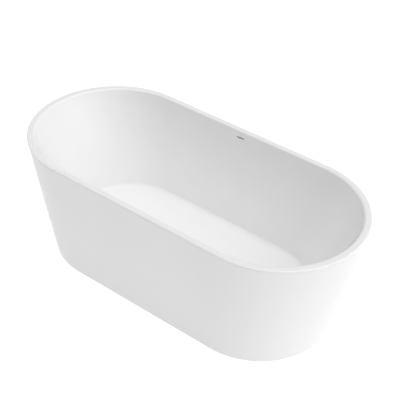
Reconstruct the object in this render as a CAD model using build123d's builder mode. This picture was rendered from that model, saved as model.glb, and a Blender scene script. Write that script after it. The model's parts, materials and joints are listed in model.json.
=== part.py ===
# Freestanding double-walled oval bathtub, 1700 x 800 x 600 mm.
#
# Row frame: origin on the floor under the middle of the tub, +X along the
# length, +Y across the width towards the wall that carries the overflow,
# +Z up.  The tub rests on four screw-adjusted feet at z = 0.
#
# Construction, from the inside out: a vacuum-formed acrylic basin with a
# flat rim and a short turned-down lip, a fibreglass laminate on its back,
# an acrylic skirt with its own laminate tucked up behind the lip, a plywood
# board under the basin floor, a welded frame of square steel tube, four
# levelling feet, a press-to-close drain and a slot overflow whose hose runs
# between the two walls down to the drain shoe.

import math
import os

from build123d import *

os.makedirs("parts", exist_ok=True)

# ------------------------------------------------------------------ sizes
# overall
HEIGHT = 600.0
SKIRT_Z0 = 2.0                  # the skirt's lower edge clears the floor
TOP_S, TOP_R = 450.5, 400.46    # rim outline before rounding: half centre distance, end radius
BOT_S, BOT_R = 390.0, 341.5     # skirt foot outline

# basin cavity (unrounded wall lines meet the rim plane and the floor plane)
FLOOR_Z = 140.0
CAV_TOP_S, CAV_TOP_R = 444.0, 374.0
CAV_BOT_S, CAV_BOT_R = 349.5, 254.0      # the straight walls run on down to the floor's level
CREASE_Z = 157.0               # where the straight walls stop and the cove begins
COVE_ANGLE = 50.0              # of the cove's upper part above the level
COVE_FILLET = 40.0             # of the cove's lower part, into the floor
RIM_FILLET_IN = 11.0
RIM_FILLET_OUT = 5.0

# sheet thicknesses
ACRYLIC = 5.0
LAMINATE = 4.0
WALL_STEP_1 = 5.3           # level offset that leaves about 5 mm of acrylic
WALL_STEP_2 = 9.5           # the same with the laminate behind it
LIP_Z = 588.0               # lower edge of the rim's turned-down lip
LIP_T = 5.0
SKIRT_T = 4.0
SKIRT_LAM_T = 3.0
SEAM = 0.6                  # open line between lip and skirt
BANDS = (240.0, 400.0)      # levels where the tall ruled walls are divided
STEP_Z = 583.0              # the skirt steps in behind the lip above this

# frame of 25 x 25 x 1.5 square tube
TUBE = 25.0
TUBE_T = 1.5
FRAME_Z0 = 90.0
FRAME_Z1 = FRAME_Z0 + TUBE
FRAME_ZM = FRAME_Z0 + TUBE / 2
RAIL_Y = 140.0
END_X = 460.0               # end cross members
END_HALF = 250.0
MID_X = 180.0
SIDE_ARM_END = 290.0
END_ARM_END = 680.0
BOARD_S, BOARD_R = 307.0, 184.0
BOARD_Z1 = FLOOR_Z - ACRYLIC - LAMINATE     # 16 mm of plywood on the frame
BOARD_HOLE_R = 76.0
BOARD_SCREW_X = (-380.0, -260.0, -80.0, 80.0, 260.0, 380.0)

# skirt foot
STRIP_IN_S, STRIP_IN_R = 390.4, 323.0
STRIP_Z0, STRIP_Z1 = 8.0, 48.0
BRACKET_T = 3.0
BRACKET_W = 30.0

# feet, M12 x 1.75
FOOT_X, FOOT_Y = 460.0, 225.0
STEM_R = 5.94
NUT_BORE_R = 6.0
STEM_TOP = 102.0

# drain, on the centre of the floor
RECESS_DEPTH = 3.5
DRAIN_HOLE_R = 26.0
LIFT = 9.0                  # the stopper's travel
TAIL_R = 19.0               # free end of the waste tube
TAIL_IN_R = 18.8

# overflow
SLOT_L, SLOT_H = 40.0, 6.5
SLOT_Z = 565.5
HOSE_R, HOSE_BORE = 12.5, 10.0
HOSE_Z = 70.0               # level of the run under the frame
HOSE_BEND = 80.0


def skirt_r(z):
    return BOT_R + (TOP_R - BOT_R) * (z - SKIRT_Z0) / (HEIGHT - SKIRT_Z0)


def skirt_s(z):
    return BOT_S + (TOP_S - BOT_S) * (z - SKIRT_Z0) / (HEIGHT - SKIRT_Z0)


def cav_r(z):
    return CAV_BOT_R + (CAV_TOP_R - CAV_BOT_R) * (z - FLOOR_Z) / (HEIGHT - FLOOR_Z)


def cav_s(z):
    return CAV_BOT_S + (CAV_TOP_S - CAV_BOT_S) * (z - FLOOR_Z) / (HEIGHT - FLOOR_Z)


def save(name, part):
    part.label = name
    export_step(part, f"parts/{name}.step")


def taper(z0, s0, r0, z1, s1, r1, mode=Mode.ADD, cuts=()):
    """A solid between two level stadium outlines, in bands that meet at the cuts."""
    sections = []
    for z in (z0, *cuts, z1):
        k = (z - z0) / (z1 - z0)
        with BuildSketch(Plane.XY.offset(z)) as outline:
            SlotCenterToCenter(2 * (s0 + (s1 - s0) * k), 2 * (r0 + (r1 - r0) * k))
        sections.append(outline.sketch.face())
    loft(sections, ruled=True, mode=mode)


def basin_form(z_floor, depth, z_top, step):
    """The basin's form with its cove: `depth` behind the floor and cove, a level `step` behind the walls."""
    lean = 1.0 / math.tan(math.radians(COVE_ANGLE))
    slope = (CAV_TOP_R - CAV_BOT_R) / (HEIGHT - FLOOR_Z)
    z_c = CREASE_Z + (step - depth / math.sin(math.radians(COVE_ANGLE))) / (lean - slope)
    s_c, r_c = cav_s(CREASE_Z), cav_r(z_c) + step
    s_top, r_top = cav_s(z_top), cav_r(z_top) + step
    levels = [(z_floor, s_c, r_c - (z_c - z_floor) * lean), (z_c, s_c, r_c)]
    for z in BANDS:
        k = (z - z_c) / (z_top - z_c)
        levels.append((z, s_c + (s_top - s_c) * k, r_c + (r_top - r_c) * k))
    levels.append((z_top, s_top, r_top))
    sections = []
    for z, s, r in levels:
        with BuildSketch(Plane.XY.offset(z)) as outline:
            SlotCenterToCenter(2 * s, 2 * r)
        sections.append(outline.sketch.face())
    loft(sections, ruled=True)


def skirt_taper(z0, z1, inset, mode=Mode.ADD):
    cuts = [z for z in BANDS if z0 + 50.0 < z < z1 - 50.0]
    taper(z0, skirt_s(z0), skirt_r(z0) - inset, z1, skirt_s(z1), skirt_r(z1) - inset, mode, cuts)


def disc(x, y, z0, z1, r, mode=Mode.ADD):
    with BuildSketch(Plane.XY.offset(z0)) as sk:
        with Locations((x, y)):
            Circle(r)
    extrude(sk.sketch, amount=z1 - z0, mode=mode)


def ring(x, y, z0, z1, r_out, r_in, mode=Mode.ADD):
    with BuildSketch(Plane.XY.offset(z0)) as sk:
        with Locations((x, y)):
            Circle(r_out)
            Circle(r_in, mode=Mode.SUBTRACT)
    extrude(sk.sketch, amount=z1 - z0, mode=mode)


def hexagon(x, y, z0, z1, across_flats, bore=0.0, mode=Mode.ADD):
    with BuildSketch(Plane.XY.offset(z0)) as sk:
        with Locations((x, y)):
            RegularPolygon(across_flats / 2, 6, major_radius=False)
            if bore:
                Circle(bore, mode=Mode.SUBTRACT)
    extrude(sk.sketch, amount=z1 - z0, mode=mode)


def block(x0, x1, y0, y1, z0, z1, mode=Mode.ADD):
    with BuildSketch(Plane.XY.offset(z0)) as sk:
        with Locations(((x0 + x1) / 2, (y0 + y1) / 2)):
            Rectangle(x1 - x0, y1 - y0)
    extrude(sk.sketch, amount=z1 - z0, mode=mode)


def tube_x(x0, x1, y):
    with BuildSketch(Plane.YZ.offset(x0)) as sk:
        with Locations((y, FRAME_ZM)):
            RectangleRounded(TUBE, TUBE, 2.5)
            RectangleRounded(TUBE - 2 * TUBE_T, TUBE - 2 * TUBE_T, 1.0, mode=Mode.SUBTRACT)
    extrude(sk.sketch, amount=x1 - x0)


def tube_y(y0, y1, x):
    with BuildSketch(Plane.XZ.offset(-y0)) as sk:
        with Locations((x, FRAME_ZM)):
            RectangleRounded(TUBE, TUBE, 2.5)
            RectangleRounded(TUBE - 2 * TUBE_T, TUBE - 2 * TUBE_T, 1.0, mode=Mode.SUBTRACT)
    extrude(sk.sketch, amount=-(y1 - y0))


# --------------------------------------------------- local planes and lines
WALL_SLOPE = (CAV_TOP_R - CAV_BOT_R) / (HEIGHT - FLOOR_Z)
WALL_A = math.atan(WALL_SLOPE)
WALL_N = (0.0, math.cos(WALL_A), -math.sin(WALL_A))     # away from the water
WALL_UP = (0.0, math.sin(WALL_A), math.cos(WALL_A))


def wall_plane(z, step, x=0.0):
    """A plane on the long wall at height z, a level step behind the cavity face."""
    return Plane(origin=(x, cav_r(z) + step, z), x_dir=(1, 0, 0), z_dir=WALL_N)


# hose run inside the double wall: straight down, one bend, level under the rail
HOSE_TOP = (368.2, 490.0)
HOSE_DIR = (-64.0 / math.hypot(64.0, 320.0), -320.0 / math.hypot(64.0, 320.0))
HOSE_NRM = (HOSE_DIR[1], -HOSE_DIR[0])


def hose_point(t):
    return (0.0, HOSE_TOP[0] + HOSE_DIR[0] * t, HOSE_TOP[1] + HOSE_DIR[1] * t)


def hose_plane(t):
    return Plane(origin=hose_point(t), x_dir=(1, 0, 0), z_dir=(0, HOSE_DIR[0], HOSE_DIR[1]))


# ------------------------------------------------------ cutting bodies
# the space inside the basin, run on above the rim
with BuildPart() as basin_space:
    basin_form(FLOOR_Z, 0.0, HEIGHT + 20, 0.0)
    fillet(basin_space.faces().sort_by(Axis.Z)[0].edges(), COVE_FILLET)
    # shallow dish round the drain
    with BuildSketch(Plane.XY.offset(FLOOR_Z - RECESS_DEPTH)):
        Circle(40.0)
    with BuildSketch(Plane.XY.offset(FLOOR_Z + 1.0)):
        Circle(58.0)
    loft(ruled=True)

# the basin's acrylic back
with BuildPart() as basin_back:
    basin_form(FLOOR_Z - ACRYLIC, ACRYLIC, HEIGHT - 0.5, WALL_STEP_1)
    fillet(basin_back.faces().sort_by(Axis.Z)[0].edges(), COVE_FILLET + ACRYLIC)
    with BuildSketch(Plane.XY.offset(FLOOR_Z - ACRYLIC - RECESS_DEPTH)):
        Circle(45.0)
    with BuildSketch(Plane.XY.offset(FLOOR_Z - ACRYLIC + 1.0)):
        Circle(63.0)
    loft(ruled=True)

# the laminate's back
with BuildPart() as laminate_back:
    basin_form(BOARD_Z1, ACRYLIC + LAMINATE, HEIGHT - 0.5, WALL_STEP_2)
    fillet(laminate_back.faces().sort_by(Axis.Z)[0].edges(), COVE_FILLET + ACRYLIC + LAMINATE)
    with BuildSketch(Plane.XY.offset(BOARD_Z1 - RECESS_DEPTH)):
        Circle(49.5)
    with BuildSketch(Plane.XY.offset(BOARD_Z1 + 1.0)):
        Circle(67.5)
    loft(ruled=True)

# -------------------------------------------------------------- inner shell
with BuildPart() as inner_shell:
    # turned-down lip, then the flat of the rim over it
    skirt_taper(LIP_Z, HEIGHT, 0.0)
    skirt_taper(LIP_Z - 1.0, HEIGHT - ACRYLIC, LIP_T, Mode.SUBTRACT)
    fillet(inner_shell.faces().sort_by(Axis.Z)[-1].edges(), RIM_FILLET_OUT)
    add(basin_back.part)
    add(basin_space.part, mode=Mode.SUBTRACT)
    rim = inner_shell.faces().filter_by(Plane.XY).sort_by(Axis.Z)[-1]
    fillet(rim.inner_wires()[0].edges(), RIM_FILLET_IN)
    disc(0, 0, 100, 160, DRAIN_HOLE_R, Mode.SUBTRACT)
    # overflow slot
    with BuildSketch(Plane.XZ.offset(-350.0)):
        with Locations((0, SLOT_Z)):
            SlotOverall(SLOT_L, SLOT_H)
    extrude(amount=-32.0, mode=Mode.SUBTRACT)
save("inner_shell", inner_shell.part)

# ----------------------------------------------------------- inner laminate
with BuildPart() as inner_laminate:
    add(laminate_back.part)
    # a layer on the underside of the rim, short of the skirt's upstand
    skirt_taper(HEIGHT - ACRYLIC - LAMINATE, HEIGHT - ACRYLIC, LIP_T + SKIRT_T + 1.2)
    taper(HEIGHT - ACRYLIC, 500, 450, HEIGHT + 30, 500, 450, Mode.SUBTRACT)
    add(basin_back.part, mode=Mode.SUBTRACT)
    disc(0, 0, 100, 160, DRAIN_HOLE_R, Mode.SUBTRACT)
    with BuildSketch(Plane.XZ.offset(-350.0)):
        with Locations((0, SLOT_Z)):
            SlotOverall(SLOT_L + 2.0, SLOT_H + 2.0)
    extrude(amount=-32.0, mode=Mode.SUBTRACT)
save("inner_laminate", inner_laminate.part)

# -------------------------------------------------------------- outer skirt
with BuildPart() as outer_skirt:
    skirt_taper(SKIRT_Z0, LIP_Z - SEAM, 0.0)
    skirt_taper(SKIRT_Z0 - 1.0, STEP_Z - 4.0, SKIRT_T, Mode.SUBTRACT)
    skirt_taper(STEP_Z - 4.0, LIP_Z, LIP_T + SKIRT_T + 0.3, Mode.SUBTRACT)
    # upstand behind the lip
    skirt_taper(LIP_Z - SEAM - 0.2, HEIGHT - ACRYLIC - 1.2, LIP_T + 0.3)
    skirt_taper(STEP_Z - 4.0, HEIGHT, LIP_T + SKIRT_T + 0.3, Mode.SUBTRACT)
save("outer_skirt", outer_skirt.part)

# ------------------------------------------------------------ skirt laminate
with BuildPart() as skirt_laminate:
    skirt_taper(SKIRT_Z0 + 4.0, STEP_Z - 5.0, SKIRT_T)
    skirt_taper(SKIRT_Z0 + 3.0, STEP_Z - 4.0, SKIRT_T + SKIRT_LAM_T, Mode.SUBTRACT)
save("skirt_laminate", skirt_laminate.part)

# ------------------------------------------------------------------ rim bond
# the bead of adhesive that seats the skirt's upstand under the rim
with BuildPart() as rim_bond:
    skirt_taper(HEIGHT - ACRYLIC - 1.2, HEIGHT - ACRYLIC, LIP_T + 0.1)
    skirt_taper(HEIGHT - ACRYLIC - 2.0, HEIGHT, LIP_T + SKIRT_T + 1.1, Mode.SUBTRACT)
save("rim_bond", rim_bond.part)

# --------------------------------------------------------------- base board
with BuildPart() as base_board:
    with BuildSketch(Plane.XY.offset(FRAME_Z1)):
        SlotCenterToCenter(2 * BOARD_S, 2 * BOARD_R)
        Circle(BOARD_HOLE_R, mode=Mode.SUBTRACT)
    extrude(amount=BOARD_Z1 - FRAME_Z1)
    for bx in BOARD_SCREW_X:
        for by in (-RAIL_Y, RAIL_Y):
            disc(bx, by, FRAME_Z1 - 1, FRAME_Z1 + 12, 2.2, Mode.SUBTRACT)
save("base_board", base_board.part)

# --------------------------------------------------------------- base strip
with BuildPart() as base_strip:
    skirt_taper(STRIP_Z0, STRIP_Z1, SKIRT_T + SKIRT_LAM_T)
    taper(STRIP_Z0 - 1, STRIP_IN_S, STRIP_IN_R, STRIP_Z1 + 1, STRIP_IN_S, STRIP_IN_R, Mode.SUBTRACT)
    # pilot holes for the bracket screws
    for sx in (-MID_X, MID_X):
        for sy in (-1, 1):
            with BuildSketch(Plane.XZ.offset(-sy * (STRIP_IN_R - 1))):
                with Locations((sx - 8, 20), (sx + 8, 36)):
                    Circle(1.8)
            extrude(amount=-sy * 11.0, mode=Mode.SUBTRACT)
    for sx in (-1, 1):
        with BuildSketch(Plane.YZ.offset(sx * (STRIP_IN_S + STRIP_IN_R - 2))):
            with Locations((-8, 20), (8, 36)):
                Circle(1.8)
        extrude(amount=sx * 12.0, mode=Mode.SUBTRACT)
save("base_strip", base_strip.part)

# -------------------------------------------------------------------- frame
for name, side in (("frame_rail_near", -1), ("frame_rail_far", 1)):
    with BuildPart() as rail:
        tube_x(-(END_X - TUBE / 2), END_X - TUBE / 2, side * RAIL_Y)
        for bx in BOARD_SCREW_X:
            disc(bx, side * RAIL_Y, FRAME_Z0 - 1, FRAME_Z1 + 1, 2.2, Mode.SUBTRACT)
        if side == 1:
            disc(22, RAIL_Y, FRAME_Z0 - 1, FRAME_Z0 + 3, 1.9, Mode.SUBTRACT)
    save(name, rail.part)

for name, side in (("end_cross_member_left", -1), ("end_cross_member_right", 1)):
    with BuildPart() as member:
        tube_y(-END_HALF, END_HALF, side * END_X)
        for fy in (-FOOT_Y, FOOT_Y):
            disc(side * FOOT_X, fy, FRAME_Z0 - 1, FRAME_Z0 + 3, 7.0, Mode.SUBTRACT)
    save(name, member.part)

for name, side in (("mid_cross_member_left", -1), ("mid_cross_member_right", 1)):
    with BuildPart() as member:
        tube_y(-(RAIL_Y - TUBE / 2), RAIL_Y - TUBE / 2, side * MID_X)
    save(name, member.part)

with BuildPart() as side_arms:
    for sx in (-1, 1):
        tube_y(RAIL_Y + TUBE / 2, SIDE_ARM_END, sx * MID_X)
        tube_y(-SIDE_ARM_END, -(RAIL_Y + TUBE / 2), sx * MID_X)
        for sy in (-1, 1):
            for d in (-8, 8):
                disc(sx * MID_X + d, sy * (SIDE_ARM_END - 16), FRAME_Z0 - 1, FRAME_Z0 + 3, 2.2, Mode.SUBTRACT)
save("side_arms", side_arms.part)

with BuildPart() as end_arms:
    tube_x(END_X + TUBE / 2, END_ARM_END, 0)
    tube_x(-END_ARM_END, -(END_X + TUBE / 2), 0)
    for sx in (-1, 1):
        for d in (-8, 8):
            disc(sx * (END_ARM_END - 16), d, FRAME_Z0 - 1, FRAME_Z0 + 3, 2.2, Mode.SUBTRACT)
save("end_arms", end_arms.part)

# plastic caps pushed into the open tube ends
CAP_T = 2.0
with BuildPart() as tube_end_caps:
    for sx in (-1, 1):
        for sy in (-1, 1):
            for x, y_end in ((sx * END_X, END_HALF), (sx * MID_X, SIDE_ARM_END)):
                with BuildSketch(Plane.XZ.offset(-sy * y_end)):
                    with Locations((x, FRAME_ZM)):
                        RectangleRounded(TUBE, TUBE, 2.5)
                extrude(amount=-sy * CAP_T)
                with BuildSketch(Plane.XZ.offset(-sy * y_end)):
                    with Locations((x, FRAME_ZM)):
                        RectangleRounded(TUBE - 2 * TUBE_T, TUBE - 2 * TUBE_T, 1.0)
                        RectangleRounded(TUBE - 2 * TUBE_T - 4, TUBE - 2 * TUBE_T - 4, 0.8, mode=Mode.SUBTRACT)
                extrude(amount=sy * 5.0)
        with BuildSketch(Plane.YZ.offset(sx * END_ARM_END)):
            with Locations((0, FRAME_ZM)):
                RectangleRounded(TUBE, TUBE, 2.5)
        extrude(amount=sx * CAP_T)
        with BuildSketch(Plane.YZ.offset(sx * END_ARM_END)):
            with Locations((0, FRAME_ZM)):
                RectangleRounded(TUBE - 2 * TUBE_T, TUBE - 2 * TUBE_T, 1.0)
                RectangleRounded(TUBE - 2 * TUBE_T - 4, TUBE - 2 * TUBE_T - 4, 0.8, mode=Mode.SUBTRACT)
        extrude(amount=-sx * 5.0)
save("tube_end_caps", tube_end_caps.part)

# self-drilling screws up through the rails into the board
with BuildPart() as board_screws:
    for bx in BOARD_SCREW_X:
        for by in (-RAIL_Y, RAIL_Y):
            disc(bx, by, FRAME_Z0 - 1.2, FRAME_Z0, 6.5)
            hexagon(bx, by, FRAME_Z0 - 5.2, FRAME_Z0 - 1.2, 8.0)
            disc(bx, by, FRAME_Z0 - 0.5, FRAME_Z1 + 12, 2.2)
save("board_screws", board_screws.part)

# ------------------------------------------------- skirt brackets and screws
with BuildPart() as skirt_brackets:
    for sx in (-1, 1):
        for sy in (-1, 1):
            xm = sx * MID_X
            ya, yb = sy * (SIDE_ARM_END - 32), sy * STRIP_IN_R
            block(xm - BRACKET_W / 2, xm + BRACKET_W / 2, min(ya, yb), max(ya, yb), FRAME_Z0 - BRACKET_T, FRAME_Z0)
            yc = sy * (STRIP_IN_R - BRACKET_T)
            block(xm - BRACKET_W / 2, xm + BRACKET_W / 2, min(yc, yb), max(yc, yb), 12, FRAME_Z0)
            for d in (-8, 8):
                disc(xm + d, sy * (SIDE_ARM_END - 16), FRAME_Z0 - 5, FRAME_Z0 + 1, 2.2, Mode.SUBTRACT)
            with BuildSketch(Plane.XZ.offset(-sy * (STRIP_IN_R - 6))):
                with Locations((xm - 8, 20), (xm + 8, 36)):
                    Circle(1.8)
            extrude(amount=-sy * 8.0, mode=Mode.SUBTRACT)
        xo = sx * (STRIP_IN_S + STRIP_IN_R - 0.4)
        xi = sx * (STRIP_IN_S + STRIP_IN_R - 0.4 - BRACKET_T)
        xa = sx * (END_ARM_END - 32)
        block(min(xa, xo), max(xa, xo), -BRACKET_W / 2, BRACKET_W / 2, FRAME_Z0 - BRACKET_T, FRAME_Z0)
        block(min(xi, xo), max(xi, xo), -BRACKET_W / 2, BRACKET_W / 2, 12, FRAME_Z0)
        for d in (-8, 8):
            disc(sx * (END_ARM_END - 16), d, FRAME_Z0 - 5, FRAME_Z0 + 1, 2.2, Mode.SUBTRACT)
        with BuildSketch(Plane.YZ.offset(sx * (STRIP_IN_S + STRIP_IN_R - 6))):
            with Locations((-8, 20), (8, 36)):
                Circle(1.8)
        extrude(amount=sx * 8.0, mode=Mode.SUBTRACT)
save("skirt_brackets", skirt_brackets.part)

with BuildPart() as bracket_screws:
    spots = []
    for sx in (-1, 1):
        for d in (-8, 8):
            spots += [(sx * MID_X + d, SIDE_ARM_END - 16), (sx * MID_X + d, -(SIDE_ARM_END - 16))]
            spots += [(sx * (END_ARM_END - 16), d)]
    for x, y in spots:
        hexagon(x, y, FRAME_Z0 - BRACKET_T - 4, FRAME_Z0 - BRACKET_T, 8.0)
        disc(x, y, FRAME_Z0 - BRACKET_T - 0.5, FRAME_Z0 + 10, 2.2)
save("bracket_screws", bracket_screws.part)

with BuildPart() as strip_screws:
    for sx in (-1, 1):
        for sy in (-1, 1):
            for dx, z in ((-8, 20), (8, 36)):
                with BuildSketch(Plane.XZ.offset(-sy * (STRIP_IN_R - BRACKET_T - 2.4))):
                    with Locations((sx * MID_X + dx, z)):
                        Circle(3.8)
                extrude(amount=-sy * 2.4)
                with BuildSketch(Plane.XZ.offset(-sy * (STRIP_IN_R - BRACKET_T - 0.5))):
                    with Locations((sx * MID_X + dx, z)):
                        Circle(1.8)
                extrude(amount=-sy * 13.0)
        xi = STRIP_IN_S + STRIP_IN_R - 0.4 - BRACKET_T
        for dy, z in ((-8, 20), (8, 36)):
            with BuildSketch(Plane.YZ.offset(sx * (xi - 2.4))):
                with Locations((dy, z)):
                    Circle(3.8)
            extrude(amount=sx * 2.4)
            with BuildSketch(Plane.YZ.offset(sx * (xi - 0.5))):
                with Locations((dy, z)):
                    Circle(1.8)
            extrude(amount=sx * 13.0)
save("strip_screws", strip_screws.part)

# --------------------------------------------------------------------- feet
FEET = [(-FOOT_X, -FOOT_Y), (FOOT_X, -FOOT_Y), (FOOT_X, FOOT_Y), (-FOOT_X, FOOT_Y)]

with BuildPart() as foot_weld_nuts:
    for x, y in FEET:
        hexagon(x, y, FRAME_Z0 - 10.0, FRAME_Z0, 19.0, NUT_BORE_R)
save("foot_weld_nuts", foot_weld_nuts.part)

with BuildPart() as foot_lock_nuts:
    for x, y in FEET:
        hexagon(x, y, FRAME_Z0 - 16.5, FRAME_Z0 - 10.0, 18.0, NUT_BORE_R)
save("foot_lock_nuts", foot_lock_nuts.part)

for i, (x, y) in enumerate(FEET, 1):
    with BuildPart() as stem:
        disc(x, y, 8.1, 14.95, 8.0)
        disc(x, y, 14.0, STEM_TOP, STEM_R)
        hexagon(x, y, 22.0, 30.0, 17.0)
        chamfer(stem.faces().sort_by(Axis.Z)[-1].edges(), 1.0)
    save(f"foot_{i}_stem", stem.part)

    with BuildPart() as pad:
        disc(x, y, 4.0, 8.0, 25.0)
        with BuildSketch(Plane.XY.offset(8.0)):
            with Locations((x, y)):
                Circle(20.0)
        with BuildSketch(Plane.XY.offset(18.0)):
            with Locations((x, y)):
                Circle(12.0)
        loft(ruled=True)
        disc(x, y, 8.0, 15.0, 8.05, Mode.SUBTRACT)
        disc(x, y, 15.0, 19.0, 6.0, Mode.SUBTRACT)
        fillet(pad.edges().filter_by(GeomType.CIRCLE).filter_by(lambda e: abs(e.radius - 25.0) < 0.01 and e.center().Z > 7.0), 1.5)
    save(f"foot_{i}_pad", pad.part)

    with BuildPart() as sole:
        disc(x, y, 0.0, 4.0, 24.0)
        ring(x, y, 0.0, 1.5, 19.0, 16.5, Mode.SUBTRACT)
        ring(x, y, 0.0, 1.5, 11.0, 8.5, Mode.SUBTRACT)
    save(f"foot_{i}_sole", sole.part)

# -------------------------------------------------------------------- drain
DISH_Z = FLOOR_Z - RECESS_DEPTH                     # 136.5
UNDER_Z = BOARD_Z1 - RECESS_DEPTH                   # 127.5

with BuildPart() as drain_gasket_upper:
    ring(0, 0, DISH_Z, DISH_Z + 1.0, 33.5, 25.0)
save("drain_gasket_upper", drain_gasket_upper.part)

with BuildPart() as drain_flange:
    disc(0, 0, DISH_Z + 1.0, FLOOR_Z, 35.0)
    disc(0, 0, 98.0, DISH_Z + 1.5, 24.0)
    disc(0, 0, 97.0, FLOOR_Z + 1.0, 20.0, Mode.SUBTRACT)
    chamfer(drain_flange.edges().filter_by(GeomType.CIRCLE).filter_by(lambda e: e.radius > 34.9 and e.center().Z > 139.0), 1.2)
    chamfer(drain_flange.edges().filter_by(GeomType.CIRCLE).filter_by(lambda e: e.radius < 20.1 and e.center().Z > 139.0), 0.8)
    # three spokes and a boss for the stopper's cartridge
    disc(0, 0, 122.0, 132.0, 10.0)
    for a in (90, 210, 330):
        with BuildSketch(Plane.XY.offset(124.0).rotated((0, 0, a))):
            with Locations((15.0, 0)):
                Rectangle(12.0, 3.5)
        extrude(amount=7.0)
    disc(0, 0, 100.0, 140.0, 7.0, Mode.SUBTRACT)
save("drain_flange", drain_flange.part)

with BuildPart() as drain_gasket_lower:
    ring(0, 0, UNDER_Z - 3.0, UNDER_Z, 38.0, 24.0)
save("drain_gasket_lower", drain_gasket_lower.part)

with BuildPart() as drain_lock_nut:
    hexagon(0, 0, UNDER_Z - 12.0, UNDER_Z - 4.0, 66.0, 24.0)
    ring(0, 0, UNDER_Z - 4.0, UNDER_Z - 3.0, 37.0, 24.0)
save("drain_lock_nut", drain_lock_nut.part)

with BuildPart() as drain_shoe:
    disc(0, 0, 54.0, 112.0, 30.0)
    disc(0, 0, 40.0, 56.0, 22.0)
    ring(0, 0, 104.0, 112.0, 33.0, 28.0)
    # side branch for the overflow hose, with its spigot
    with BuildSketch(Plane.XZ.offset(-20.0)):
        with Locations((0, HOSE_Z)):
            Circle(13.0)
    extrude(amount=-16.0)
    with BuildSketch(Plane.XZ.offset(-20.0)):
        with Locations((0, HOSE_Z)):
            Circle(HOSE_BORE)
    extrude(amount=-40.0)
    # bores
    disc(0, 0, 98.0, 113.0, 24.0, Mode.SUBTRACT)
    disc(0, 0, 58.0, 99.0, 21.0, Mode.SUBTRACT)
    disc(0, 0, 39.0, 60.0, 16.5, Mode.SUBTRACT)
    disc(0, 0, 39.0, 54.0, TAIL_IN_R, Mode.SUBTRACT)
    with BuildSketch(Plane.XZ.offset(-12.0)):
        with Locations((0, HOSE_Z)):
            Circle(8.0)
    extrude(amount=-60.0, mode=Mode.SUBTRACT)
save("drain_shoe", drain_shoe.part)

# the free end below the slip nut is a little thicker than the end inside it
with BuildPart() as tailpiece:
    ring(0, 0, 12.0, 30.0, TAIL_R, 16.5)
    ring(0, 0, 30.0, 54.0, TAIL_IN_R, 16.5)
save("tailpiece", tailpiece.part)

with BuildPart() as slip_washer:
    ring(0, 0, 35.0, 40.0, 21.9, TAIL_IN_R)
save("slip_washer", slip_washer.part)

with BuildPart() as slip_nut:
    hexagon(0, 0, 31.0, 52.0, 54.0)
    disc(0, 0, 35.0, 53.0, 22.0, Mode.SUBTRACT)
    disc(0, 0, 30.0, 36.0, 19.4, Mode.SUBTRACT)
save("slip_nut", slip_nut.part)

# ------------------------------------------------------------------ stopper
# shown closed: the seal rests on the flange, the spring is squeezed
SEAT_Z = FLOOR_Z
with BuildPart() as stopper_seal:
    ring(0, 0, SEAT_Z, SEAT_Z + 1.6, 28.0, 22.0)
save("stopper_seal", stopper_seal.part)

with BuildPart() as stopper_cap:
    disc(0, 0, SEAT_Z + 1.6, SEAT_Z + 6.6, 31.0)
    fillet(stopper_cap.faces().sort_by(Axis.Z)[-1].edges(), 2.5)
    disc(0, 0, SEAT_Z - 3.0, SEAT_Z + 2.0, 9.0)
    ring(0, 0, SEAT_Z, SEAT_Z + 2.0, 22.0, 19.0)
    disc(0, 0, SEAT_Z - 4.0, SEAT_Z + 4.6, 4.0, Mode.SUBTRACT)
save("stopper_cap", stopper_cap.part)

with BuildPart() as stopper_plunger:
    disc(0, 0, 115.0, 118.0, 5.4)
    disc(0, 0, 117.0, SEAT_Z + 4.6, 4.0)
save("stopper_plunger", stopper_plunger.part)

with BuildPart() as stopper_cartridge:
    disc(0, 0, 104.0, 133.0, 7.0)
    disc(0, 0, 132.0, 134.5, 9.0)
    disc(0, 0, 120.0, 136.0, 4.05, Mode.SUBTRACT)
    disc(0, 0, 106.0, 118.0 + LIFT + 0.3, 5.6, Mode.SUBTRACT)
save("stopper_cartridge", stopper_cartridge.part)

with BuildPart() as stopper_spring:
    WIRE = 0.45
    COIL = 4.7
    with BuildLine() as coil:
        Helix(pitch=(9.0 - 2 * WIRE) / 4.0, height=9.0 - 2 * WIRE, radius=COIL, center=(0, 0, 106.0 + WIRE))
    with BuildSketch(Plane(origin=coil.line @ 0, z_dir=coil.line % 0)):
        Circle(WIRE)
    sweep(is_frenet=True)
save("stopper_spring", stopper_spring.part)

# ----------------------------------------------------------------- overflow
GASKET_T = 2.0
BOX_STEP = WALL_STEP_2 + GASKET_T / math.cos(WALL_A)


def front_y(z, add=0.0):
    return cav_r(z) + BOX_STEP + add


def back_y(z, add=0.0):
    return skirt_r(z) - SKIRT_T - SKIRT_LAM_T - 2.5 - add


BOX_Z0, BOX_Z1 = HOSE_TOP[1], 578.0
BOX_T = 2.2

# a bonded rubber frame that seals the box to the back of the wall
with BuildPart() as overflow_gasket:
    with BuildSketch(wall_plane(SLOT_Z, WALL_STEP_2)):
        RectangleRounded(62.0, 24.0, 6.0)
        RectangleRounded(48.0, 12.0, 4.0, mode=Mode.SUBTRACT)
    extrude(amount=GASKET_T)
save("overflow_gasket", overflow_gasket.part)

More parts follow.
